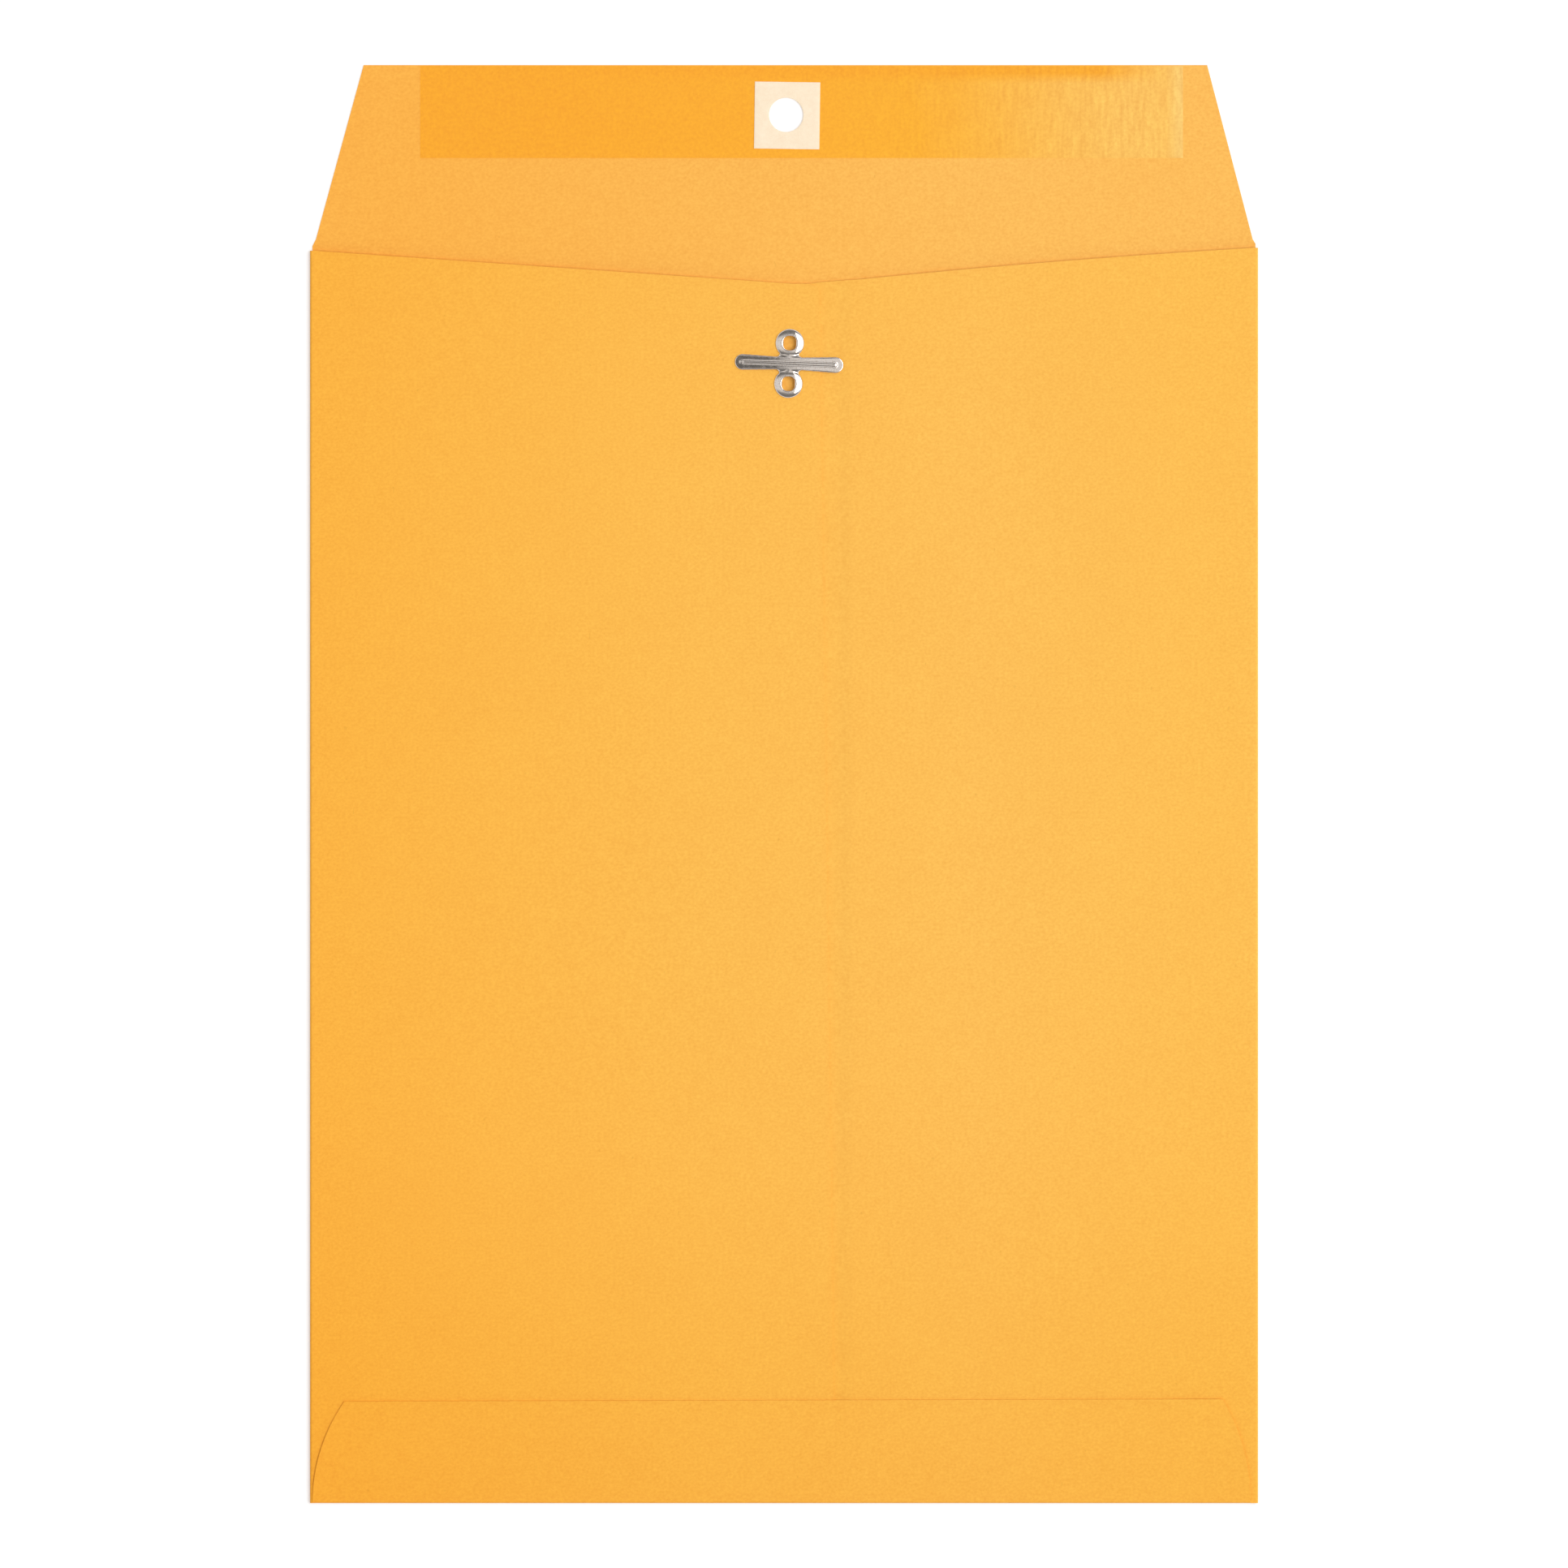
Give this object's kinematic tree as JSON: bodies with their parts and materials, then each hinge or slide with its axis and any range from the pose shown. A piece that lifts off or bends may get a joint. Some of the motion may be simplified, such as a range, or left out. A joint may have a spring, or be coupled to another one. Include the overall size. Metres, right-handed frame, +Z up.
{
  "type": "filing envelope",
  "caption": "Golden kraft clasp envelope for filing, flap open, with gum strip, patched hole and bendable metal prongs.",
  "frame": {"origin": "middle of the opened envelope, on the plane it lies on", "axes": "+X across the envelope to the viewer's right, +Y from the bottom fold to the seal flap's edge, +Z up out of the clasp side"},
  "size_m": [0.2286, 0.3468, 0.002],
  "materials": {
    "kraft_paper": "matt golden kraft with a faint fibre mottle",
    "dried_gum": "satin dried moistenable gum on kraft, faintly ridged",
    "patch_paper": "smooth cream reinforcing paper",
    "dried_glue": "thin dried adhesive",
    "tinned_steel": "bright tinned stamping with fine scratches"
  },
  "bodies": {
    "envelope": {"front_panel": "kraft_paper", "left_side_fold": "kraft_paper", "right_side_fold": "kraft_paper", "bottom_fold": "kraft_paper", "left_back_panel": "kraft_paper", "right_back_panel": "kraft_paper", "bottom_flap": "kraft_paper", "seam_glue": "dried_glue", "bottom_glue": "dried_glue", "clasp_base": "tinned_steel"},
    "flap": {"seal_flap": "kraft_paper", "gum_strip": "dried_gum", "hole_patch": "patch_paper"},
    "left_prong": {"clasp_left_prong": "tinned_steel"},
    "right_prong": {"clasp_right_prong": "tinned_steel"}
  },
  "joints": [
    {"name": "flap_fold", "type": "hinge", "parent": "envelope", "child": "flap", "pos_m": [0, 0.1314, 0.00067], "axis": [1, 0, 0], "range_deg": [0, 177]},
    {"name": "left_prong_bend", "type": "hinge", "parent": "envelope", "child": "left_prong", "pos_m": [-0.00107, 0.10148, 0.00164], "axis": [0.0349, 0.9994, 0], "range_deg": [0, 90]},
    {"name": "right_prong_bend", "type": "hinge", "parent": "envelope", "child": "right_prong", "pos_m": [0.00353, 0.10132, 0.00164], "axis": [-0.0349, -0.9994, 0], "range_deg": [0, 90]}
  ]
}
